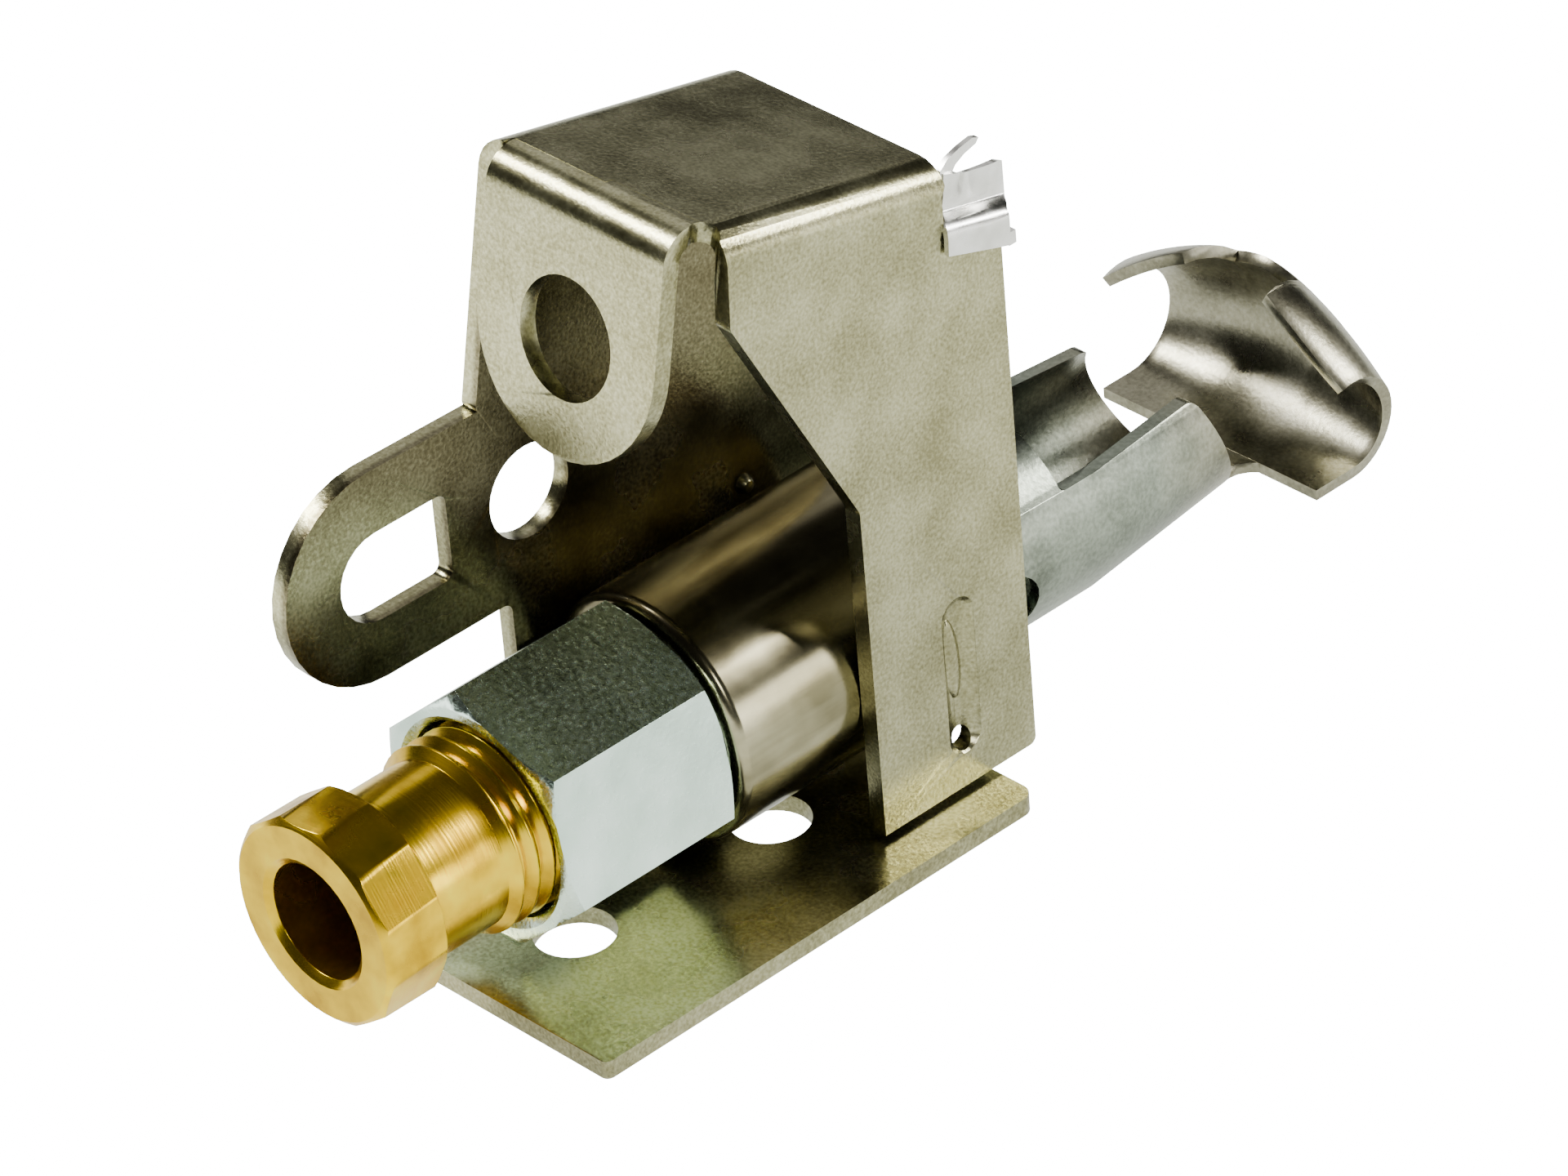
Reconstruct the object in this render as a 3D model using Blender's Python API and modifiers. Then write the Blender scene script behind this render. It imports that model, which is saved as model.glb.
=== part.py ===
"""Gas pilot burner on a folded sheet bracket, one object per loose piece.

Metres, +Z up.  The burner axis runs along Y: the pipe nut points to -Y, the
flame hood to +Y.  The underside of the base flange is the plane Z = 0.
"""
import math

import bmesh
import bpy
from mathutils import Matrix, Vector

# --- driving dimensions ------------------------------------------------------
AXIS_Z = 0.0088            # burner axis above the underside of the flange
SHEET = 0.0010             # bracket sheet
BEND = 0.00175             # outside radius of every fold
HALF_WIDTH = 0.0077        # outside of the back plate and of the side panel
GAP = 0.0003               # clearance between pieces that touch

TOP_TILT = math.radians(12.1)   # the top slopes down towards the flame
TOP_FRONT = (-0.00116, 0.0391)  # Y and Z of the sharp corner of top and lug
REAR_Y = 0.0148

FLANGE_RIGHT = 0.0103
FLANGE_FRONT = -0.0133
FLANGE_REAR = 0.0153
FLANGE_CORNER = 0.0008
FLANGE_HOLE_R = 0.00207
FLANGE_HOLES = ((0.0015, -0.0071), (0.0020, 0.0054))

PLATE_FRONT_LOW = -0.0021       # front edge of the back plate under the tab
PLATE_FRONT_INSET = 0.00115     # front edge above the tab, behind the lug face
TAB_CENTRE = (-0.0100, 0.0195)
TAB_R = 0.0057
SLOT_HALF_HEIGHT = 0.0024
SLOT_END = -0.00545
PLATE_HOLE = (-0.0003, 0.0193)
PLATE_HOLE_R = 0.00252

LUG_HALF_WIDTH = 0.0060
LUG_HOLE_DROP = 0.0075          # hole centre below the top, along the lug
LUG_HOLE_R = 0.00307
RELIEF_R = 0.00074              # hole at the corner between lug and side panel

PANEL_BOTTOM = 0.00135
PANEL_LOW_FRONT = 0.0077
PANEL_LOW_TOP = 0.0200
PANEL_HIGH_FRONT = 0.0007
PANEL_HIGH_TOP = 0.0336
PANEL_REAR = 0.0180
NOTCH_Y = 0.0144
NOTCH_FRONT_Z = 0.0322
NOTCH_REAR_Z = 0.0313
RIB_Y = 0.0134
RIB_Z = (0.0043, 0.0111)
RIB_R = 0.0013             # radius of the round punch
RIB_DEPTH = 0.0006
RIB_HOLE_R = 0.0006

SLEEVE_R = 0.00665
SLEEVE_WALL = 0.00055
SLEEVE_REAR = 0.0165

BODY_FLATS = 0.0120
BODY_FRONT = -0.01095
BODY_HEX_REAR = -0.00035
BODY_HEX_TURN = math.radians(-19.3)
SPIGOT_R = 0.00475
SPIGOT_REAR = 0.0130
SEAT_Y = -0.0015

THREAD_MAJOR_R = 0.00495
THREAD_MINOR_R = 0.00442
PITCH = 0.0010
NUT_CORNER_R = 0.0055         # twelve-sided head
NUT_FRONT = -0.0215
NUT_HEAD_REAR = -0.0179
NUT_HEAD_TURN = math.radians(20)
NUT_NECK_R = 0.00445
NUT_THREAD_FRONT = -0.0136
NUT_REAR = -0.0052
PIPE_R = 0.00305

OLIVE_R = 0.00385
OLIVE_LENGTH = 0.0038
JET_R = 0.0024
JET_Y = (0.0009, 0.0042)

TUBE_R = 0.0057
TUBE_WALL = 0.0006
TUBE_FRONT = 0.0015
TAPER_Y = 0.0259
TUBE_END_R = 0.0047
TUBE_END = 0.0370
TROUGH_FRONT = 0.0235
EAR_HEIGHT = 0.00305            # trough edges above the burner axis
EAR_REAR = 0.0336
TROUGH_LOW_REAR = 0.0364
AIR_PORT_Y = 0.0189
AIR_PORT_R = 0.0020
AIR_PORT_DROP = math.radians(14)

HOOD_HALF = 0.0074
HOOD_FRONT = 0.0385
HOOD_REAR = 0.0450
HOOD_BOTTOM = 0.0048
HOOD_MID_R = 0.0052
HOOD_RIGHT_R = 0.0029
HOOD_LEFT_R = 0.0036
NOTCH_HALF = 0.0020
FLAP_START = 0.0027
NECK_HALF = 0.0028

CLIP_SHEET = 0.0003

SEGMENTS = 48
ARC_STEPS = 6

AXIS_FRAME = Matrix.Translation((0, 0, AXIS_Z)) @ Matrix.Rotation(-math.pi / 2, 4, 'X')
SIDE_FRAME = Matrix(((0, 0, 1, 0), (1, 0, 0, 0), (0, 1, 0, 0), (0, 0, 0, 1)))
TOP_FRAME = (Matrix.Translation((0, TOP_FRONT[0], TOP_FRONT[1]))
             @ Matrix.Rotation(-TOP_TILT, 4, 'X'))
LUG_FRAME = TOP_FRAME @ Matrix.Rotation(math.pi / 2, 4, 'X')


# --- scene and helpers -------------------------------------------------------
def clear_scene():
    for obj in list(bpy.data.objects):
        bpy.data.objects.remove(obj, do_unlink=True)


def collection(name):
    made = bpy.data.collections.new(name)
    bpy.context.scene.collection.children.link(made)
    return made


clear_scene()
PARTS = collection('pilot_burner')
CUTTERS = collection('cutters')


def material(name, colour, roughness, metallic=1.0):
    made = bpy.data.materials.new(name)
    made.use_nodes = True
    shader = made.node_tree.nodes['Principled BSDF']
    shader.inputs['Base Color'].default_value = (*colour, 1.0)
    shader.inputs['Roughness'].default_value = roughness
    shader.inputs['Metallic'].default_value = metallic
    return made


def new_object(name, mesh, frame=Matrix.Identity(4), where=None):
    obj = bpy.data.objects.new(name, mesh)
    (where or PARTS).objects.link(obj)
    obj.matrix_world = frame
    if where is CUTTERS:
        obj.hide_render = True
        obj.display_type = 'WIRE'
    return obj


def finish(obj, look, angle=35):
    obj.data.materials.append(look)
    obj.data.shade_smooth()
    obj.data.set_sharp_from_angle(angle=math.radians(angle))


def boolean(obj, other, operation):
    mod = obj.modifiers.new(operation.lower(), 'BOOLEAN')
    mod.operation = operation
    mod.object = other
    mod.solver = 'EXACT'
    return mod


def turned(name, profile, frame=AXIS_FRAME, where=None, steps=SEGMENTS):
    """Closed profile of (radius, place along the axis), turned into a ring or a plug."""
    mesh = bpy.data.meshes.new(name)
    count = len(profile)
    ring = all(radius > 0 for radius, _ in profile)
    edges = [(i, (i + 1) % count) for i in range(count if ring else count - 1)]
    mesh.from_pydata([(radius, 0, place) for radius, place in profile], edges, [])
    obj = new_object(name, mesh, frame, where)
    screw = obj.modifiers.new('turn', 'SCREW')
    screw.axis = 'Z'
    screw.steps = steps
    screw.render_steps = steps
    screw.use_merge_vertices = True
    screw.merge_threshold = 1e-6
    return obj


def bar(name, sides, corner_r, front, rear, turn, where=None):
    """Bar with flat sides along the burner axis; turn is its first corner's angle from +X."""
    mesh = bpy.data.meshes.new(name)
    made = bmesh.new()
    bmesh.ops.create_cone(made, cap_ends=True, segments=sides, radius1=corner_r,
                          radius2=corner_r, depth=rear - front)
    bmesh.ops.rotate(made, verts=made.verts,
                     matrix=Matrix.Rotation(-turn - math.pi / 2, 3, 'Z'))
    bmesh.ops.translate(made, verts=made.verts, vec=(0, 0, (front + rear) / 2))
    made.to_mesh(mesh)
    made.free()
    return new_object(name, mesh, AXIS_FRAME, where)


def rounded(corners, steps=ARC_STEPS):
    """Corners (u, v, radius) to an outline whose corners are arcs."""
    points = []
    count = len(corners)
    for i, (u, v, radius) in enumerate(corners):
        here = Vector((u, v))
        if radius == 0:
            points.append(here)
            continue
        before = (Vector(corners[i - 1][:2]) - here).normalized()
        after = (Vector(corners[(i + 1) % count][:2]) - here).normalized()
        half = before.angle(after) / 2
        centre = here + (before + after).normalized() * (radius / math.sin(half))
        start = here + before * (radius / math.tan(half)) - centre
        end = here + after * (radius / math.tan(half)) - centre
        sweep = start.angle_signed(end)
        for k in range(steps + 1):
            turn = Matrix.Rotation(-sweep * k / steps, 2)
            points.append(centre + turn @ start)
    return points


def arc(centre, radius, first, last, steps=ARC_STEPS):
    """Points on an arc, angles in degrees."""
    return [Vector((centre[0] + radius * math.cos(math.radians(first + (last - first) * k / steps)),
                    centre[1] + radius * math.sin(math.radians(first + (last - first) * k / steps))))
            for k in range(steps + 1)]


def prism(name, outline, low, high, frame, where=None):
    """Flat outline, as a filled 2D curve, made solid between two heights of its frame."""
    curve = bpy.data.curves.new(name, 'CURVE')
    curve.dimensions = '2D'
    curve.fill_mode = 'BOTH'
    curve.extrude = (high - low) / 2
    spline = curve.splines.new('POLY')
    spline.points.add(len(outline) - 1)
    for point, place in zip(spline.points, outline):
        point.co = (place[0], place[1], 0, 1)
    spline.use_cyclic_u = True
    flat = bpy.data.objects.new(name + '_curve', curve)
    bpy.context.scene.collection.objects.link(flat)
    bpy.context.view_layer.update()
    graph = bpy.context.evaluated_depsgraph_get()
    mesh = bpy.data.meshes.new_from_object(flat.evaluated_get(graph))
    bpy.data.objects.remove(flat)
    made = bmesh.new()
    made.from_mesh(mesh)
    bmesh.ops.remove_doubles(made, verts=made.verts, dist=1e-7)
    bmesh.ops.recalc_face_normals(made, faces=made.faces)
    made.to_mesh(mesh)
    made.free()
    return new_object(name, mesh, frame @ Matrix.Translation((0, 0, (low + high) / 2)), where)


def cylinder(name, radius, centre, low, high, frame, steps=32, where=None):
    mesh = bpy.data.meshes.new(name)
    made = bmesh.new()
    bmesh.ops.create_cone(made, cap_ends=True, segments=steps, radius1=radius, radius2=radius,
                          depth=high - low)
    bmesh.ops.translate(made, verts=made.verts, vec=(centre[0], centre[1], (low + high) / 2))
    made.to_mesh(mesh)
    made.free()
    return new_object(name, mesh, frame, where or CUTTERS)


def box(name, low, high, frame=Matrix.Identity(4), where=None):
    mesh = bpy.data.meshes.new(name)
    made = bmesh.new()
    bmesh.ops.create_cube(made, size=1)
    size = Vector(high) - Vector(low)
    bmesh.ops.scale(made, verts=made.verts, vec=size)
    bmesh.ops.translate(made, verts=made.verts, vec=Vector(low) + size / 2)
    made.to_mesh(mesh)
    made.free()
    return new_object(name, mesh, frame, where or CUTTERS)


def grid_sheet(name, rows, thickness, offset=0.0, where=None):
    """Rows of points lofted into an open surface, then thickened."""
    mesh = bpy.data.meshes.new(name)
    made = bmesh.new()
    lines = [[made.verts.new(point) for point in row] for row in rows]
    for one, two in zip(lines, lines[1:]):
        for a, b, c, d in zip(one, one[1:], two[1:], two):
            made.faces.new((a, b, c, d))
    made.to_mesh(mesh)
    made.free()
    obj = new_object(name, mesh, Matrix.Identity(4), where)
    solid = obj.modifiers.new('sheet', 'SOLIDIFY')
    solid.thickness = thickness
    solid.offset = offset
    solid.use_even_offset = True
    return obj


def baked(obj):
    """The object with its modifiers turned into mesh, for use as a Boolean operand."""
    bpy.context.view_layer.update()
    graph = bpy.context.evaluated_depsgraph_get()
    mesh = bpy.data.meshes.new_from_object(obj.evaluated_get(graph))
    obj.modifiers.clear()
    obj.data = mesh
    made = bmesh.new()
    made.from_mesh(mesh)
    bmesh.ops.remove_doubles(made, verts=made.verts, dist=1e-7)
    bmesh.ops.recalc_face_normals(made, faces=made.faces)
    if made.calc_volume(signed=True) < 0:
        bmesh.ops.reverse_faces(made, faces=made.faces)
    made.to_mesh(mesh)
    made.free()
    return obj


# --- bracket -----------------------------------------------------------------
def top_height(y):
    return TOP_FRONT[1] - math.tan(TOP_TILT) * (y - TOP_FRONT[0])


def folded_section(y):
    """Outside line of the fold at one Y: flange, back plate, top and side panel."""
    top = top_height(y)
    left = -HALF_WIDTH
    points = [Vector((FLANGE_RIGHT, 0))]
    points += arc((left + BEND, BEND), BEND, 270, 180)
    points += arc((left + BEND, top - BEND), BEND, 180, 90)
    points += arc((HALF_WIDTH - BEND, top - BEND), BEND, 90, 0)
    points += [Vector((HALF_WIDTH, PANEL_BOTTOM))]
    return [Vector((point.x, y, point.y)) for point in points]


def plate_outline():
    tilt = math.tan(TOP_TILT)
    edge_y = TOP_FRONT[0] + PLATE_FRONT_INSET * math.cos(TOP_TILT)
    high_y = edge_y + 0.004 * tilt
    high_z = TOP_FRONT[1] + 0.004
    tab_top = TAB_CENTRE[1] + TAB_R
    tab_low = TAB_CENTRE[1] - TAB_R
    crook_y = edge_y - (TOP_FRONT[1] - tab_top) * tilt
    outline = rounded([(REAR_Y, -0.002, 0), (REAR_Y, 0.0012, 0), (PANEL_REAR, 0.0030, 0.0005),
                       (PANEL_REAR, NOTCH_REAR_Z, 0.0005), (REAR_Y, NOTCH_FRONT_Z, 0.0004),
                       (REAR_Y, high_z, 0), (high_y, high_z, 0), (crook_y, tab_top, 0.0005)])
    outline.pop()
    outline += arc(TAB_CENTRE, TAB_R, 90, 270, 16)
    outline += rounded([(TAB_CENTRE[0], tab_low, 0), (PLATE_FRONT_LOW, tab_low, 0.0005),
                        (PLATE_FRONT_LOW, -0.002, 0)])[1:-1]
    outline.append(Vector((PLATE_FRONT_LOW, -0.002)))
    return outline


def panel_outline():
    high_z = TOP_FRONT[1] + 0.004
    return rounded([(PANEL_LOW_FRONT, PANEL_BOTTOM, 0), (PANEL_REAR, PANEL_BOTTOM, 0.0004),
                    (PANEL_REAR, NOTCH_REAR_Z, 0.0003), (NOTCH_Y, NOTCH_FRONT_Z, 0.0002),
                    (NOTCH_Y, 0.0342, 0.0002), (REAR_Y, 0.0346, 0), (REAR_Y, high_z, 0),
                    (0.0012, high_z, 0),
                    (PANEL_HIGH_FRONT, PANEL_HIGH_TOP, 0.0008),
                    (PANEL_LOW_FRONT, PANEL_LOW_TOP, 0.0006)])


def flange_outline():
    left = -HALF_WIDTH + 0.0013
    return rounded([(left, FLANGE_FRONT, 0.0004), (FLANGE_RIGHT, FLANGE_FRONT, 0.0004),
                    (FLANGE_RIGHT, FLANGE_REAR, FLANGE_CORNER), (left, FLANGE_REAR, 0.0004)])


def slot_outline():
    y, z = TAB_CENTRE[0] + 0.0001, TAB_CENTRE[1] - 0.0001
    high, low = z + SLOT_HALF_HEIGHT, z - SLOT_HALF_HEIGHT
    points = arc((y, z), SLOT_HALF_HEIGHT, 90, 270, 12)
    points += rounded([(y, low, 0), (SLOT_END, low, 0.0005), (SLOT_END, high, 0.0005),
                       (y, high, 0)])[1:-1]
    return points


def lug_sheet():
    """Fold of the lug, seen from the side: a leg inside the top plate, the bend, the lug."""
    skin = 0.00001
    low = -LUG_HOLE_DROP - LUG_HALF_WIDTH - 0.001
    side = [Vector((BEND + 0.0012, -skin))]
    side += arc((BEND, -BEND), BEND - skin, 90, 180, 8)
    side += [Vector((skin, low))]
    rows = []
    for x in (-LUG_HALF_WIDTH, LUG_HALF_WIDTH):
        rows.append([TOP_FRAME @ Vector((x, point.x, point.y)) for point in side])
    return baked(grid_sheet('lug_fold', rows, SHEET - 2 * skin, offset=-1.0, where=CUTTERS))


def lug_outline():
    width = LUG_HALF_WIDTH
    drop = -LUG_HOLE_DROP
    points = [Vector((width + 0.001, 0.001)), Vector((-width - 0.001, 0.001)),
              Vector((-width - 0.001, drop))]
    points += [Vector((-width, drop))]
    points += arc((0, drop), width, 180, 360, 20)[1:]
    points += [Vector((width + 0.001, drop))]
    return points


def pressed_rib():
    """Round-nosed punch that sinks a rib in the side panel."""
    mesh = bpy.data.meshes.new('pressed_rib')
    made = bmesh.new()
    bmesh.ops.create_uvsphere(made, u_segments=20, v_segments=11, radius=RIB_R)
    half = (RIB_Z[1] - RIB_Z[0]) / 2
    for vert in made.verts:
        vert.co.z += math.copysign(half, vert.co.z)
    made.to_mesh(mesh)
    made.free()
    punch = new_object('pressed_rib', mesh, where=CUTTERS)
    punch.location = (HALF_WIDTH + RIB_R - RIB_DEPTH, RIB_Y, (RIB_Z[0] + RIB_Z[1]) / 2)
    return punch


def rib_lens():
    """Eye-shaped swell left in the middle of the rib."""
    mesh = bpy.data.meshes.new('rib_lens')
    made = bmesh.new()
    bmesh.ops.create_uvsphere(made, u_segments=16, v_segments=9, radius=1)
    bmesh.ops.scale(made, verts=made.verts, vec=(0.00032, 0.0006, 0.0024))
    made.to_mesh(mesh)
    made.free()
    lens = new_object('rib_lens', mesh, where=CUTTERS)
    lens.location = (HALF_WIDTH - RIB_DEPTH, RIB_Y - 0.00015, 0.0085)
    lens.rotation_euler = (math.radians(4), 0, 0)
    return lens


def bracket(look):
    rows = [folded_section(y) for y in (-0.0165, 0.0195)]
    sheet = grid_sheet('bracket', rows, SHEET, offset=-1.0)
    baked(sheet)

    keep = prism('keep_plate', plate_outline(), -0.010, 0.0001, SIDE_FRAME, CUTTERS)
    keep_panel = prism('keep_panel', panel_outline(), -0.0001, 0.010, SIDE_FRAME, CUTTERS)
    keep_flange = prism('keep_flange', flange_outline(), -0.001, 0.00125,
                        Matrix.Identity(4), CUTTERS)
    boolean(keep, keep_panel, 'UNION')
    boolean(keep, keep_flange, 'UNION')
    boolean(sheet, keep, 'INTERSECT')

    front = box('front_gap', (-LUG_HALF_WIDTH - 0.0001, -0.004, -0.006),
                (LUG_HALF_WIDTH + 0.0001, BEND, 0.003), TOP_FRAME)
    boolean(sheet, front, 'DIFFERENCE')

    lug = lug_sheet()
    boolean(lug, prism('lug_shape', lug_outline(), -0.006, 0.003, LUG_FRAME, CUTTERS), 'INTERSECT')
    boolean(sheet, lug, 'UNION')

    holes = [cylinder('lug_hole', LUG_HOLE_R, (0, -LUG_HOLE_DROP), -0.003, 0.003, LUG_FRAME, 40),
             cylinder('corner_relief', RELIEF_R, (HALF_WIDTH - 0.0011, 0.0019), -0.0045, 0.002,
                      TOP_FRAME, 20),
             cylinder('plate_hole', PLATE_HOLE_R, PLATE_HOLE, -0.010, -0.005, SIDE_FRAME, 36),
             prism('tab_slot', slot_outline(), -0.010, -0.005, SIDE_FRAME, CUTTERS),
             cylinder('rib_opening', RIB_HOLE_R, (RIB_Y, RIB_Z[0] - 0.0004), 0.005, 0.010,
                      SIDE_FRAME, 16)]
    for x, y in FLANGE_HOLES:
        holes.append(cylinder('flange_hole', FLANGE_HOLE_R, (x, y), -0.001, 0.0022,
                              Matrix.Identity(4), 36))
    for hole in holes:
        boolean(sheet, hole, 'DIFFERENCE')

    boolean(sheet, pressed_rib(), 'DIFFERENCE')
    boolean(sheet, rib_lens(), 'UNION')

    nib = turned('plate_nib', [(0, 0.0005), (0.0003, 0.00042), (0.0005, 0.0002), (0.00055, 0),
                               (0.00055, -0.0003), (0, -0.0003)],
                 Matrix.Translation((-HALF_WIDTH + SHEET, 0.0132, 0.0128))
                 @ Matrix.Rotation(math.pi / 2, 4, 'Y'), CUTTERS, 16)
    boolean(sheet, nib, 'UNION')
    baked(sheet)
    finish(sheet, look)
    return sheet


# --- sleeve ------------------------------------------------------------------
def sleeve(look):
    """Drawn cup round the burner, its front lip rolled in and its rear end closed in."""
    lip = 0.0009
    inner = SLEEVE_R - SLEEVE_WALL
    mouth = SLEEVE_R - lip
    close_r = TUBE_R + GAP + 0.0001
    shoulder = 0.0007
    outer_rear = [(p.x, p.y) for p in arc((SLEEVE_R - shoulder, SLEEVE_REAR - shoulder),
                                          shoulder, 90, 0, 5)]
    outer_lip = [(p.x, p.y) for p in arc((mouth, lip * 0.6), lip * 0.6, 270, 200, 4)]
    roll = [(p.x, p.y) for p in arc((SLEEVE_R - lip * 0.6, lip * 0.6), lip * 0.6, 360, 270, 5)]
    back = [(mouth - 0.0004, 0.0009), (mouth, 0.0011), (inner - 0.0001, 0.0011), (inner, 0.0014)]
    rear = [(inner, SLEEVE_REAR - SLEEVE_WALL), (close_r, SLEEVE_REAR - SLEEVE_WALL),
            (close_r, SLEEVE_REAR)]
    return finish_turned('sleeve', outer_rear + roll + outer_lip + back + rear, look)


def finish_turned(name, profile, look, steps=SEGMENTS):
    obj = turned(name, profile, steps=steps)
    baked(obj)
    finish(obj, look)
    return obj


# --- burner body -------------------------------------------------------------
def burner_body(look):
    """Hexagon bar, bored and threaded for the nut, turned down to a spigot for the flame tube."""
    corner = BODY_FLATS / math.sqrt(3)
    body = bar('burner_body', 6, corner, BODY_FRONT, BODY_HEX_REAR, BODY_HEX_TURN)
    flat = BODY_FLATS / 2
    chamfer = turned('body_chamfer', [(0, BODY_HEX_REAR + 0.0001), (flat * 0.985, BODY_HEX_REAR + 0.0001),
                                      (corner + 0.0002, BODY_HEX_REAR - 0.00055),
                                      (corner + 0.0002, BODY_FRONT + 0.00055),
                                      (flat * 0.985, BODY_FRONT - 0.0001),
                                      (0, BODY_FRONT - 0.0001)], where=CUTTERS)
    spigot = turned('body_spigot', [(0, SPIGOT_REAR), (SPIGOT_R - 0.0004, SPIGOT_REAR),
                                    (SPIGOT_R, SPIGOT_REAR - 0.0004), (SPIGOT_R, BODY_HEX_REAR - 0.001),
                                    (0, BODY_HEX_REAR - 0.001)], where=CUTTERS)
    bore_r = THREAD_MAJOR_R + 0.00025
    bore = turned('body_bore', [(0, SPIGOT_REAR + 0.001), (0.0038, SPIGOT_REAR + 0.001),
                                (0.0036, SPIGOT_REAR), (0.0016, 0.0075), (0.0016, 0.0046),
                                (JET_R + GAP, 0.0046), (JET_R + GAP, 0.0006),
                                (0.0033, 0.0005), (OLIVE_R + 0.0004, SEAT_Y), (bore_r, SEAT_Y - 0.0008),
                                (bore_r, BODY_FRONT + 0.0004), (bore_r + 0.0004, BODY_FRONT),
                                (bore_r + 0.0004, BODY_FRONT - 0.001),
                                (0, BODY_FRONT - 0.001)], where=CUTTERS)
    boolean(body, chamfer, 'INTERSECT')
    boolean(body, spigot, 'UNION')
    boolean(body, bore, 'DIFFERENCE')
    baked(body)
    finish(body, look, 20)
    return body


# --- pipe nut, olive and jet ---------------------------------------------------
def thread_profile(front, rear):
    """Crests and roots of the thread, from the rear end to the front."""
    points = []
    turns = int(round((rear - front) / PITCH))
    for k in range(turns):
        start = rear - k * PITCH
        points += [(THREAD_MINOR_R, start - 0.00006), (THREAD_MAJOR_R, start - 0.00044),
                   (THREAD_MAJOR_R, start - 0.00056), (THREAD_MINOR_R, start - 0.00094)]
    return points


def pipe_nut(look):
    """Brass nut: twelve-sided head, neck and outside thread, bored for the pilot pipe."""
    nut = bar('pipe_nut', 12, NUT_CORNER_R, NUT_FRONT, NUT_HEAD_REAR, NUT_HEAD_TURN)
    chamfer = turned('nut_chamfer', [(0, NUT_HEAD_REAR + 0.0001),
                                     (NUT_CORNER_R - 0.00025, NUT_HEAD_REAR + 0.0001),
                                     (NUT_CORNER_R + 0.0001, NUT_HEAD_REAR - 0.00025),
                                     (NUT_CORNER_R + 0.0001, NUT_FRONT + 0.0004),
                                     (NUT_CORNER_R - 0.0005, NUT_FRONT - 0.0001),
                                     (0, NUT_FRONT - 0.0001)], where=CUTTERS)
    shank = [(0, NUT_REAR)]
    shank += thread_profile(NUT_THREAD_FRONT, NUT_REAR)
    shank += [(NUT_NECK_R, NUT_THREAD_FRONT - 0.0004), (NUT_NECK_R, NUT_HEAD_REAR - 0.001),
              (0, NUT_HEAD_REAR - 0.001)]
    shank = turned('nut_shank', shank, where=CUTTERS, steps=40)
    bore = turned('nut_bore', [(0, NUT_REAR + 0.001), (PIPE_R + 0.0008, NUT_REAR + 0.001),
                               (PIPE_R + 0.0008, NUT_REAR), (PIPE_R, NUT_REAR - 0.0009),
                               (PIPE_R, NUT_FRONT + 0.0003), (PIPE_R + 0.0004, NUT_FRONT),
                               (PIPE_R + 0.0004, NUT_FRONT - 0.001), (0, NUT_FRONT - 0.001)],
                  where=CUTTERS, steps=36)
    boolean(nut, chamfer, 'INTERSECT')
    boolean(nut, shank, 'UNION')
    boolean(nut, bore, 'DIFFERENCE')
    baked(nut)
    finish(nut, look, 20)
    return nut


def olive(look):
    """Brass ring with a cone at each end that the nut squeezes onto the pipe."""
    front = NUT_REAR + GAP
    rear = front + OLIVE_LENGTH
    return finish_turned('olive', [(PIPE_R + 0.0004, rear), (OLIVE_R, rear - 0.0014),
                                   (OLIVE_R, front + 0.0010), (PIPE_R + 0.0003, front),
                                   (PIPE_R, front), (PIPE_R, rear)], look, 36)


def pilot_jet(look):
    """Small turned jet with the gas orifice, resting on the shoulder in the body."""
    front, rear = JET_Y
    return finish_turned('pilot_jet', [(0.0003, rear), (0.0012, rear), (0.0014, rear - 0.0002),
                                       (0.0014, rear - 0.0012), (JET_R, rear - 0.0012),
                                       (JET_R, front), (0.0011, front), (0.0011, rear - 0.0008),
                                       (0.0003, rear - 0.0003)], look, 28)


# --- flame tube with hood ----------------------------------------------------
def tube_radius(y):
    if y <= TAPER_Y:
        return TUBE_R
    return TUBE_R - (TUBE_R - TUBE_END_R) * (y - TAPER_Y) / (TUBE_END - TAPER_Y)


def hood_row(x, steps=22):
    """Middle line of the hood sheet at one X, from its bottom front edge round to its lip."""
    end_r = HOOD_RIGHT_R if x > 0 else HOOD_LEFT_R
    share = (abs(x) / HOOD_HALF) ** 1.6
    radius = HOOD_MID_R + (end_r - HOOD_MID_R) * share
    centre = (HOOD_REAR - 0.0009 * share - radius, HOOD_BOTTOM + radius)
    lip_end = 105 if x > 0 else 114
    if abs(x) <= NOTCH_HALF:
        last = 49 - 3 * (abs(x) / NOTCH_HALF) ** 2
    elif abs(x) < FLAP_START:
        last = 46 + 42 * (abs(x) - NOTCH_HALF) / (FLAP_START - NOTCH_HALF)
    else:
        last = 88 + (lip_end - 88) * (abs(x) - FLAP_START) / (HOOD_HALF - FLAP_START)
    middle = radius - TUBE_WALL / 2
    points = [Vector((HOOD_FRONT, centre[1] - middle))]
    points += arc(centre, middle, -90, last, steps)
    return [Vector((x, point.x, point.y)) for point in points]


def neck_row(y, steps=8):
    """Middle line of the neck at one Y: an arc of the tube that flattens towards the hood."""
    flatness = min(max((y - 0.0358) / 0.0028, 0), 1)
    flatness = flatness * flatness * (3 - 2 * flatness)
    flare = min(max((y - 0.0374) / 0.0013, 0), 1)
    half = NECK_HALF + 0.0009 * flare * flare
    radius = tube_radius(min(y, TUBE_END)) - TUBE_WALL / 2
    flat_z = HOOD_BOTTOM + TUBE_WALL / 2
    points = []
    for k in range(steps + 1):
        x = half * (2 * k / steps - 1)
        round_z = AXIS_Z - math.sqrt(radius * radius - x * x)
        points.append(Vector((x, y, round_z + (flat_z - round_z) * flatness)))
    return points


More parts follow.
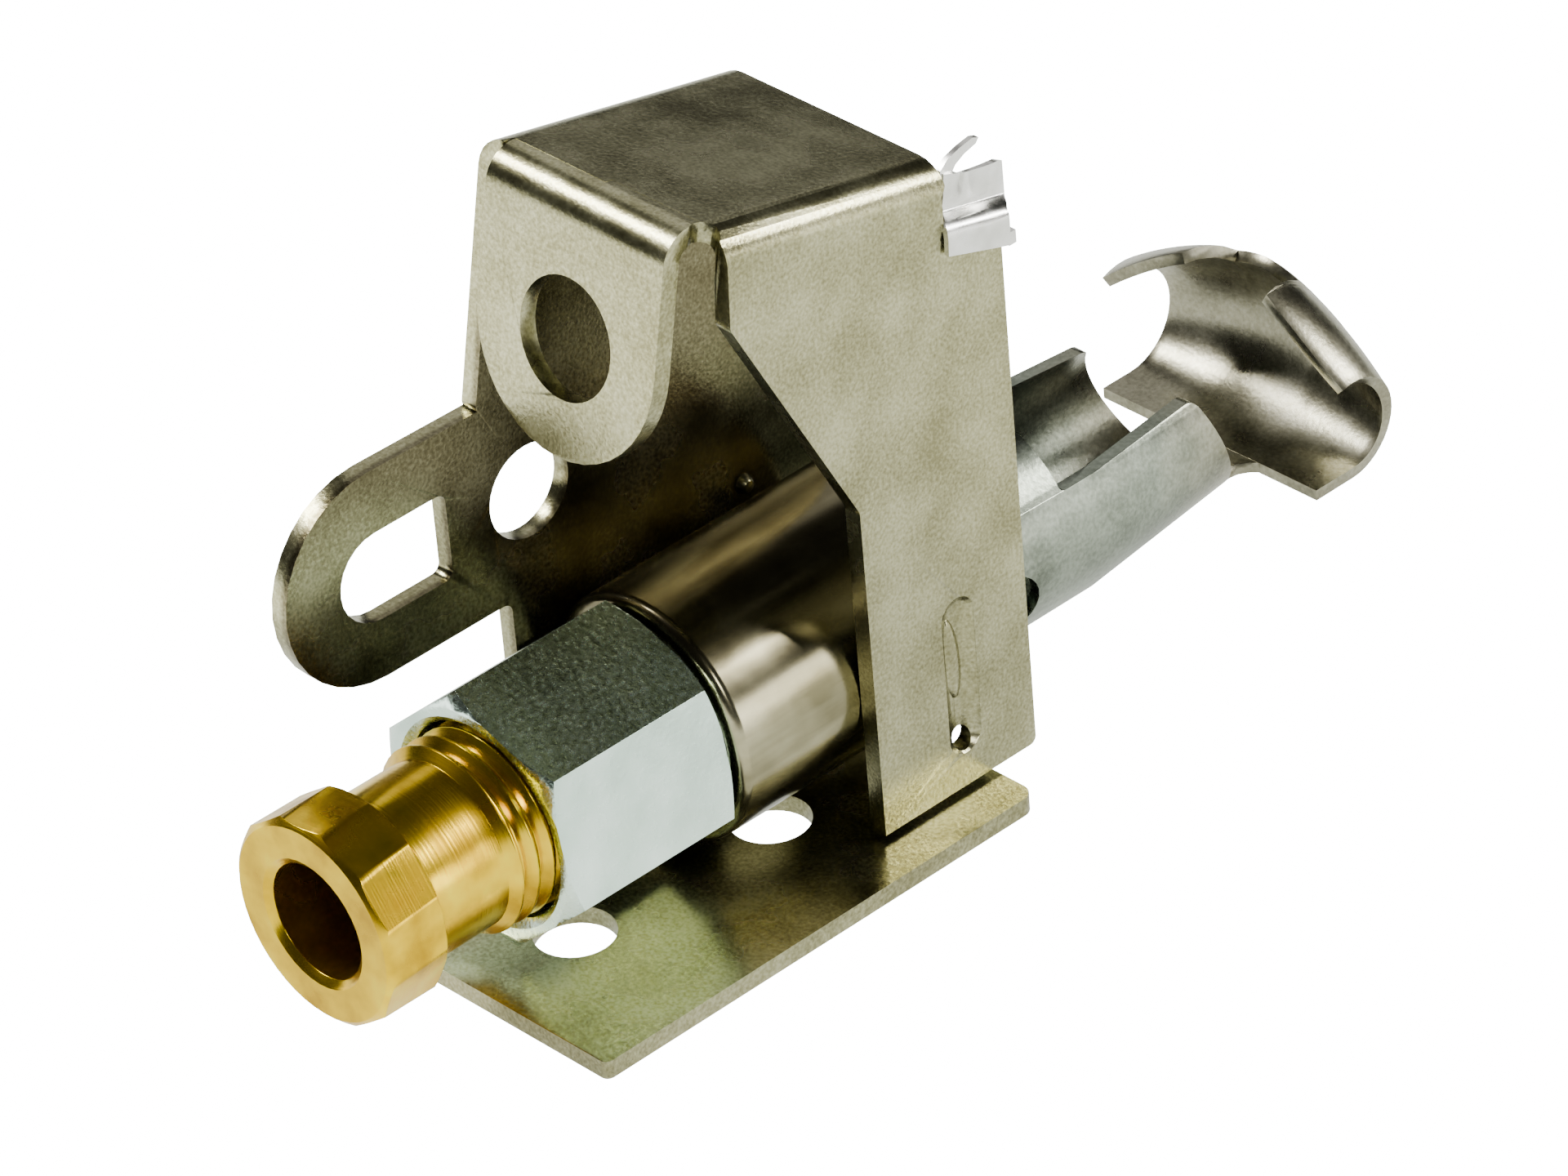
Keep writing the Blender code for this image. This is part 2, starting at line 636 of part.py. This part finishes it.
def flame_tube(look):
    """Rolled tube, open at the top as a trough, with its end formed into the flame hood."""
    wall = TUBE_WALL
    profile = [(TUBE_END_R, TUBE_END), (TUBE_R, TAPER_Y), (TUBE_R, TUBE_FRONT),
               (TUBE_R - wall, TUBE_FRONT), (TUBE_R - wall, TAPER_Y), (TUBE_END_R - wall, TUBE_END)]
    tube = turned('flame_tube', profile)
    baked(tube)
    high = AXIS_Z + EAR_HEIGHT
    opening = rounded([(TROUGH_FRONT, 0.030, 0), (TROUGH_FRONT, high, 0.0003),
                       (EAR_REAR, high, 0.0008), (TROUGH_LOW_REAR, AXIS_Z - 0.0040, 0),
                       (TROUGH_LOW_REAR + 0.0004, -0.002, 0), (0.050, -0.002, 0), (0.050, 0.030, 0)])
    boolean(tube, prism('trough_cut', opening, -0.010, 0.010, SIDE_FRAME, CUTTERS), 'DIFFERENCE')
    for side in (1, -1):
        turn = Matrix.Rotation(side * (math.pi / 2 + AIR_PORT_DROP), 4, 'Y')
        port_frame = Matrix.Translation((0, AIR_PORT_Y, AXIS_Z)) @ turn
        boolean(tube, cylinder('air_port', AIR_PORT_R, (0, 0), 0.003, 0.008, port_frame, 24),
                'DIFFERENCE')
    neck_ys = [0.0352, 0.0358, 0.0364, 0.0370, 0.0376, 0.0382, 0.0387, 0.0393]
    neck = baked(grid_sheet('neck', [neck_row(y) for y in neck_ys], wall - 0.00004, where=CUTTERS))
    stations = [-1, -0.93, -0.86, -0.79, -0.72, -0.65, -0.58, -0.51, -0.44]
    stations += [-FLAP_START / HOOD_HALF, -0.34, -0.31, -NOTCH_HALF / HOOD_HALF, -0.18, -0.09, 0]
    stations += [-share for share in reversed(stations[:-1])]
    hood = baked(grid_sheet('hood', [hood_row(share * HOOD_HALF) for share in stations], wall,
                            where=CUTTERS))
    boolean(neck, hood, 'UNION')
    boolean(tube, neck, 'UNION')
    baked(tube)
    finish(tube, look)
    return tube


# --- thermocouple clip ---------------------------------------------------------
def clip_row(share):
    """Middle line of the strip from its outside leg, over the notch, to its upright."""
    y = NOTCH_Y - 0.0002 + 0.0040 * share
    crest = NOTCH_FRONT_Z + 0.00042 - 0.0009 * share
    leg_x = HALF_WIDTH + 0.00012 + CLIP_SHEET / 2
    wave = 0.00030 * math.cos(2 * math.pi * (share - 0.12) / 0.62)
    top = 0.0346 - 0.0010 * share - 0.00025 * math.cos(2 * math.pi * (share - 0.42) / 0.7)
    stand_x = HALF_WIDTH - 0.0009
    return [Vector((leg_x, y, crest - 0.0014 - 0.0004 * share)),
            Vector((leg_x, y + 0.00004, crest - 0.0006)),
            Vector((leg_x - 0.00006, y + 0.00008, crest - 0.00025)),
            Vector((leg_x - 0.00022, y + 0.00016, crest - 0.00005)),
            Vector((leg_x - 0.00045, y + 0.00040, crest)),
            Vector((stand_x + 0.00022, y + 0.00074, crest + 0.00004)),
            Vector((stand_x + 0.00006, y + 0.00086, crest + 0.00018)),
            Vector((stand_x, y + 0.0009, crest + 0.0005)),
            Vector((stand_x + wave / 2, y + 0.0010, (crest + top) / 2)),
            Vector((stand_x + wave, y + 0.0011, top))]


def thermocouple_clip(look):
    """Thin spring strip on the outside of the side panel, stepped over the notch, with an ear."""
    clip = grid_sheet('thermocouple_clip', [clip_row(k / 16) for k in range(17)], CLIP_SHEET)
    baked(clip)
    ear = [(0.0151, 0.0344), (0.0151, 0.0350), (0.0156, 0.0354), (0.0164, 0.03565),
           (0.0173, 0.0358), (0.0177, 0.03565), (0.0175, 0.0354), (0.0167, 0.0352),
           (0.0161, 0.0349), (0.0157, 0.0344)]
    ear_x = HALF_WIDTH - 0.0009 - CLIP_SHEET * 0.45
    boolean(clip, prism('clip_ear', [Vector(point) for point in ear], ear_x,
                        ear_x + CLIP_SHEET, SIDE_FRAME, CUTTERS), 'UNION')
    hook = box('clip_hook', (HALF_WIDTH - 0.0003, PANEL_REAR + 0.00012, 0.0299),
               (HALF_WIDTH + 0.0004, PANEL_REAR + 0.0006, 0.0306))
    boolean(clip, hook, 'UNION')
    baked(clip)
    finish(clip, look)
    return clip


def build():
    bracket(material('stainless_sheet', (0.46, 0.43, 0.37), 0.42))
    sleeve(material('drawn_stainless', (0.44, 0.39, 0.32), 0.30))
    burner_body(material('zinc_body', (0.60, 0.66, 0.66), 0.28))
    pipe_nut(material('brass', (0.80, 0.60, 0.22), 0.24))
    olive(material('olive_brass', (0.78, 0.58, 0.24), 0.30))
    pilot_jet(material('jet_brass', (0.74, 0.55, 0.25), 0.30))
    flame_tube(material('zinc_sheet', (0.62, 0.66, 0.62), 0.32))
    thermocouple_clip(material('spring_steel', (0.60, 0.60, 0.56), 0.30))


build()
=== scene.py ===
"""Looks of a gas pilot burner on its folded bracket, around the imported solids."""
import math

import bpy
from mathutils import Matrix, Vector

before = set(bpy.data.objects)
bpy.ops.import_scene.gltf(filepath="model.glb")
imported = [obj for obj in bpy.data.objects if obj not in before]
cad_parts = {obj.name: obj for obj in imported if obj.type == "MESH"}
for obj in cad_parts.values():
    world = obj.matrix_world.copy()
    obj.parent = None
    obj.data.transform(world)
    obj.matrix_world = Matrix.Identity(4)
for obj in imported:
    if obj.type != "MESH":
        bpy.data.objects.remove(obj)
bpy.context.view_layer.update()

# --- Viewpoint ---------------------------------------------------------------
# The burner is seen from the panel side of its pipe end, from well above and
# through a long lens, so its edges stay almost parallel.
VIEW_TARGET = Vector((0.0, 0.00933, 0.01157))
VIEW_DISTANCE = 0.43214
VIEW_AZIMUTH = math.radians(48.72)
VIEW_ELEVATION = math.radians(33.87)
VIEW_ROLL = math.radians(-5.03)
LENS_MM = 206.25

towards_eye = Vector((math.cos(VIEW_ELEVATION) * math.sin(VIEW_AZIMUTH),
                      -math.cos(VIEW_ELEVATION) * math.cos(VIEW_AZIMUTH),
                      math.sin(VIEW_ELEVATION)))
eye = bpy.data.cameras.new("eye")
eye.lens = LENS_MM
eye.sensor_width = 36.0
eye.clip_start = 0.02
camera = bpy.data.objects.new("eye", eye)
bpy.context.scene.collection.objects.link(camera)
camera.matrix_world = (Matrix.Translation(VIEW_TARGET + towards_eye * VIEW_DISTANCE)
                       @ towards_eye.to_track_quat("Z", "Y").to_matrix().to_4x4()
                       @ Matrix.Rotation(VIEW_ROLL, 4, "Z"))
bpy.context.scene.camera = camera


# --- Floor -------------------------------------------------------------------
# A wide matt white board. It glows a little, as an overlit board does, so that
# the metal standing on it mirrors a bright ground. Seen directly it is burnt out
# to white.
class Wire:
    """An output of a material's node; sums and products with it add Math nodes."""

    def __init__(self, finish, socket):
        self.finish = finish
        self.socket = socket

    def _with(self, operation, first, second):
        return self.finish.node("ShaderNodeMath", {"operation": operation},
                                {0: first, 1: second})

    def __add__(self, other):
        return self._with("ADD", self, other)

    def __radd__(self, other):
        return self._with("ADD", other, self)

    def __mul__(self, other):
        return self._with("MULTIPLY", self, other)

    def __rmul__(self, other):
        return self._with("MULTIPLY", other, self)


class Finish:
    """One material: its nodes, and the Principled shader that they feed."""

    def __init__(self, name, **sockets):
        self.material = bpy.data.materials.new(name)
        self.material.use_nodes = True
        self.tree = self.material.node_tree
        self.shader = self.tree.nodes["Principled BSDF"]
        self.plug(self.shader, sockets)

    def plug(self, node, sockets):
        for key, value in sockets.items():
            socket = node.inputs[key.replace("_", " ") if isinstance(key, str) else key]
            if isinstance(value, Wire):
                self.tree.links.new(value.socket, socket)
            else:
                socket.default_value = value

    def node(self, kind, settings=None, sockets=None, out=0):
        made = self.tree.nodes.new(kind)
        for key, value in (settings or {}).items():
            if key == "stops":
                ramp = made.color_ramp
                while len(ramp.elements) < len(value):
                    ramp.elements.new(0.5)
                for element, (place, colour) in zip(ramp.elements, value):
                    element.position = place
                    element.color = (*colour, 1.0)
            else:
                setattr(made, key, value)
        self.plug(made, sockets or {})
        return Wire(self, made.outputs[out])

    def place(self, scale=(1, 1, 1)):
        """Position on the piece, in metres, stretched by scale."""
        at = self.node("ShaderNodeTexCoord", out=3)
        return self.node("ShaderNodeVectorMath", {"operation": "MULTIPLY"}, {0: at, 1: scale})

    def along(self, axis):
        """Position on the piece along X, Y or Z, in metres."""
        return self.node("ShaderNodeSeparateXYZ", None, {"Vector": self.place()},
                         "XYZ".index(axis))

    def noise(self, scale, detail=2.0, stretch=(1, 1, 1)):
        """Cloudy noise of so many cells to the metre, stretched along an axis."""
        return self.node("ShaderNodeTexNoise", None,
                         {"Vector": self.place(stretch), "Scale": scale, "Detail": detail})

    def ramp(self, factor, *stops):
        """Colour that goes through the stops (place, colour) as the factor grows."""
        return self.node("ShaderNodeValToRGB", {"stops": stops}, {"Fac": factor})

    def between(self, factor, low, high, first=0.0, last=1.0):
        """Factor mapped from low..high to first..last, and held there."""
        return self.node("ShaderNodeMapRange", {"clamp": True},
                         {"Value": factor, "From Min": low, "From Max": high,
                          "To Min": first, "To Max": last})

    def blend(self, factor, one, two):
        """Colour one where factor is 0, colour two where it is 1."""
        return self.node("ShaderNodeMix", {"data_type": "RGBA"}, {0: factor, 6: one, 7: two}, 2)

    def bump(self, height, depth, strength):
        """Relief that is depth metres high."""
        return self.node("ShaderNodeBump", None,
                         {"Height": height, "Distance": depth, "Strength": strength})

    def wear(self, *names, edge=0.0):
        """Puts the finish on CAD nodes, breaks their sharp edges and rounds their shading."""
        for name in names:
            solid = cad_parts[name]
            solid.data.materials.clear()
            solid.data.materials.append(self.material)
            weld = solid.modifiers.new("weld", "WELD")
            weld.merge_threshold = WELD_GAP
            if edge:
                bevel = solid.modifiers.new("broken_edge", "BEVEL")
                bevel.width = edge
                bevel.segments = 2
                bevel.limit_method = "ANGLE"
                bevel.angle_limit = BROKEN_ANGLE
            rounding = solid.modifiers.new("rounding", "NODES")
            rounding.node_group = soft_below_angle
            flats = solid.modifiers.new("flats", "WEIGHTED_NORMAL")
            flats.keep_sharp = True


def rgb(red, green, blue):
    return (red, green, blue, 1.0)


FLOOR_HALF = 3.0
FLOOR_DROP = 0.00005
GLOW_MIRRORED = rgb(0.8685, 0.90, 0.8595)
GLOW_SEEN = rgb(16.3085, 16.90, 16.1395)
board = Finish("white_board", Base_Color=rgb(0.62, 0.63, 0.60), Roughness=0.9,
               Emission_Strength=1.0)
seen = board.node("ShaderNodeLightPath")
board.plug(board.shader, {"Emission Color": board.blend(seen, GLOW_MIRRORED, GLOW_SEEN)})
floor_mesh = bpy.data.meshes.new("floor")
floor_mesh.from_pydata([(-FLOOR_HALF, -FLOOR_HALF, 0), (FLOOR_HALF, -FLOOR_HALF, 0),
                        (FLOOR_HALF, FLOOR_HALF, 0), (-FLOOR_HALF, FLOOR_HALF, 0)],
                       [], [(0, 1, 2, 3)])
floor_mesh.materials.append(board.material)
floor = bpy.data.objects.new("floor", floor_mesh)
floor.location.z = -FLOOR_DROP
bpy.context.scene.collection.objects.link(floor)


# --- Studio light --------------------------------------------------------------
# Soft boxes: high on the left of the pipe end, behind the panel, low behind the
# panel, weak behind the back plate, and weak over the viewer. The room is dim.
# Each has its place, its side in metres and its power in watts.
LIGHTS = {
    "left_box": ((-0.55, -0.25, 0.66), 0.24, 9.0),
    "rear_box": ((0.43, 0.60, 0.45), 0.24, 7.5),
    "low_box": ((0.76, 0.50, 0.10), 0.30, 1.6),
    "back_box": ((-0.56, 0.50, 0.50), 0.40, 0.50),
    "front_fill": ((0.62, -0.30, 0.50), 0.16, 2.0),
}
LIGHT_AIM = Vector((0.0, 0.010, 0.015))
LIGHT_COLOUR = (1.0, 0.985, 0.96)

for name, (place, side, power) in LIGHTS.items():
    lamp = bpy.data.lights.new(name, "AREA")
    lamp.size = side
    lamp.energy = power
    lamp.color = LIGHT_COLOUR
    holder = bpy.data.objects.new(name, lamp)
    bpy.context.scene.collection.objects.link(holder)
    away = Vector(place) - LIGHT_AIM
    holder.matrix_world = (Matrix.Translation(place)
                           @ away.to_track_quat("Z", "Y").to_matrix().to_4x4())

# A small lit card lies face up on the board, in front and to the left, where the
# lug mirrors it.
CARD_PLACE = (-0.075, -0.085, 0.001)
card = bpy.data.lights.new("low_card", "AREA")
card.size = 0.10
card.energy = 0.05
holder = bpy.data.objects.new("low_card", card)
bpy.context.scene.collection.objects.link(holder)
holder.matrix_world = Matrix.Translation(CARD_PLACE) @ Matrix.Rotation(math.pi, 4, "X")

world = bpy.data.worlds.new("room")
world.use_nodes = True
world.node_tree.nodes["Background"].inputs["Color"].default_value = rgb(0.030, 0.031, 0.027)
world.node_tree.nodes["Background"].inputs["Strength"].default_value = 1.0
bpy.context.scene.world = world


# --- Bracket -------------------------------------------------------------------
# One piece of rolled stainless sheet, punched and folded. It is dull and warm
# grey, with a fine speckled grain. The inside of the back plate is painted darker
# and browner, as painted shade between the plates.
WELD_GAP = 1e-7
BROKEN_ANGLE = math.radians(50)

# Turned and bent faces are shaded as one round surface. An edge that folds by
# more than this stays an edge.
SHARP_ANGLE = math.radians(32)
soft_below_angle = bpy.data.node_groups.new("soft_below_angle", "GeometryNodeTree")
soft_below_angle.interface.new_socket("Geometry", in_out="INPUT",
                                      socket_type="NodeSocketGeometry")
soft_below_angle.interface.new_socket("Geometry", in_out="OUTPUT",
                                      socket_type="NodeSocketGeometry")
steps = [soft_below_angle.nodes.new(kind) for kind in (
    "NodeGroupInput", "GeometryNodeSetShadeSmooth", "GeometryNodeSetShadeSmooth",
    "NodeGroupOutput", "GeometryNodeInputMeshEdgeAngle", "FunctionNodeCompare")]
came_in, all_soft, edges_sharp, goes_out, fold, steep = steps
edges_sharp.domain = "EDGE"
edges_sharp.inputs["Shade Smooth"].default_value = False
steep.inputs[1].default_value = SHARP_ANGLE
for source, target in ((came_in.outputs[0], all_soft.inputs[0]),
                       (all_soft.outputs[0], edges_sharp.inputs[0]),
                       (edges_sharp.outputs[0], goes_out.inputs[0]),
                       (fold.outputs[0], steep.inputs[0]),
                       (steep.outputs[0], edges_sharp.inputs["Selection"])):
    soft_below_angle.links.new(source, target)

sheet = Finish("rolled_stainless", Metallic=1.0)
speckle = sheet.noise(5200, 3.0)
cloud = sheet.noise(260, 3.0)
tone = sheet.between(speckle * 0.55 + cloud * 0.45, 0.36, 0.64)
across = sheet.along("X")
# Painted shade: the inside face of the back plate, below the top, takes the darker brown
# colours.
painted_shade_inside = (sheet.between(across, -0.0072, -0.0069) * sheet.between(across, -0.0062, -0.0065)
           * sheet.between(sheet.along("Z"), 0.034, 0.030))
sheet.plug(sheet.shader, {
    "Base Color": sheet.blend(
        painted_shade_inside,
        sheet.ramp(tone, (0.0, (0.21, 0.197, 0.100)), (0.5, (0.33, 0.317, 0.180)),
                   (1.0, (0.46, 0.447, 0.28))),
        sheet.ramp(tone, (0.0, (0.085, 0.073, 0.035)), (0.5, (0.145, 0.130, 0.070)),
                   (1.0, (0.23, 0.212, 0.125)))),
    "Roughness": sheet.between(cloud, 0.3, 0.7, 0.21, 0.31),
    "Normal": sheet.bump(speckle, 0.000012, 0.8),
})
sheet.wear("bracket", edge=0.00008)


# --- Sleeve --------------------------------------------------------------------
# A cup drawn from thin stainless sheet, smoother than the bracket and slightly
# brown. Its top is painted darker and browner, as painted shade. Its front lip is rolled in.
drawn = Finish("drawn_stainless", Metallic=1.0)
streak = drawn.noise(900, 3.0, (1, 0.12, 1))
cloud = drawn.noise(240, 3.0)
tone = drawn.between(streak * 0.4 + cloud * 0.6, 0.35, 0.65)
drawn.plug(drawn.shader, {
    # Painted shade: the colour turns darker and browner towards the top of the sleeve.
    "Base Color": drawn.blend(
        drawn.between(drawn.along("Z") + streak * 0.002, 0.0128, 0.0158),
        drawn.ramp(tone, (0.0, (0.19, 0.170, 0.095)), (0.5, (0.31, 0.285, 0.175)),
                   (1.0, (0.45, 0.42, 0.28))),
        drawn.ramp(tone, (0.0, (0.065, 0.055, 0.028)), (0.5, (0.115, 0.100, 0.055)),
                   (1.0, (0.19, 0.172, 0.105)))),
    "Roughness": drawn.between(cloud, 0.3, 0.7, 0.16, 0.25),
    "Normal": drawn.bump(streak, 0.00001, 0.5),
})
drawn.wear("sleeve")


# --- Burner body -----------------------------------------------------------------
# Hexagon bar, turned and bored, then bright zinc plated; the flats keep a fine
# orange-peel that breaks up reflections.
plated = Finish("bright_zinc", Metallic=1.0)
peel = plated.noise(3800, 4.0)
cloud = plated.noise(300, 2.0)
plated.plug(plated.shader, {
    "Base Color": plated.ramp(plated.between(cloud, 0.3, 0.7), (0.0, (0.56, 0.72, 0.63)),
                              (1.0, (0.78, 0.95, 0.86))),
    "Roughness": plated.between(peel, 0.3, 0.7, 0.16, 0.30),
    "Normal": plated.bump(peel, 0.00003, 0.8),
})
plated.wear("burner_body", edge=0.00008)


# --- Pipe nut, olive and jet -------------------------------------------------------
# Turned from brass bar: the nut clamps the olive on the gas pipe, and the jet
# sits deeper in the body.
brass = Finish("turned_brass", Metallic=1.0)
lathe = brass.noise(9000, 2.0, (0.02, 1, 0.02))
cloud = brass.noise(380, 3.0)
brass.plug(brass.shader, {
    "Base Color": brass.ramp(brass.between(cloud, 0.3, 0.7), (0.0, (0.46, 0.27, 0.003)),
                             (0.55, (0.74, 0.48, 0.006)), (1.0, (0.88, 0.63, 0.025))),
    "Roughness": brass.between(cloud, 0.3, 0.7, 0.30, 0.18),
    "Normal": brass.bump(lathe, 0.000012, 0.6),
})
brass.wear("pipe_nut", "olive", "pilot_jet", edge=0.00006)


# --- Flame tube and hood -------------------------------------------------------------
# One blank of thin zinc-plated steel, rolled into a tube, left open on top as a
# trough, and shaped at its end into the hood that spreads the flame. Towards
# the hood its colour turns warmer and a little lighter.
rolled = Finish("rolled_zinc", Metallic=1.0)
speckle = rolled.noise(4200, 3.0)
cloud = rolled.noise(300, 3.0)
tone = rolled.between(speckle * 0.4 + cloud * 0.6, 0.34, 0.66)
rolled.plug(rolled.shader, {
    "Base Color": rolled.blend(
        rolled.between(rolled.along("Y") + cloud * 0.006, 0.033, 0.039),
        rolled.ramp(tone, (0.0, (0.12, 0.136, 0.105)), (0.5, (0.20, 0.225, 0.18)),
                    (1.0, (0.31, 0.345, 0.285))),
        rolled.ramp(tone, (0.0, (0.17, 0.160, 0.110)), (0.5, (0.27, 0.258, 0.185)),
                    (1.0, (0.38, 0.365, 0.28)))),
    "Roughness": rolled.between(cloud, 0.3, 0.7, 0.24, 0.36),
    "Normal": rolled.bump(speckle, 0.000012, 0.7),
})
rolled.wear("flame_tube", edge=0.00005)


# --- Clip --------------------------------------------------------------------------
# A thin bright spring strip hooked over the notch at the panel's top rear.
spring = Finish("spring_strip", Metallic=1.0)
cloud = spring.noise(700, 3.0)
spring.plug(spring.shader, {
    "Base Color": spring.ramp(spring.between(cloud, 0.3, 0.7), (0.0, (0.66, 0.66, 0.62)),
                              (1.0, (0.86, 0.86, 0.83))),
    "Roughness": spring.between(cloud, 0.3, 0.7, 0.2, 0.34),
})
spring.wear("thermocouple_clip")
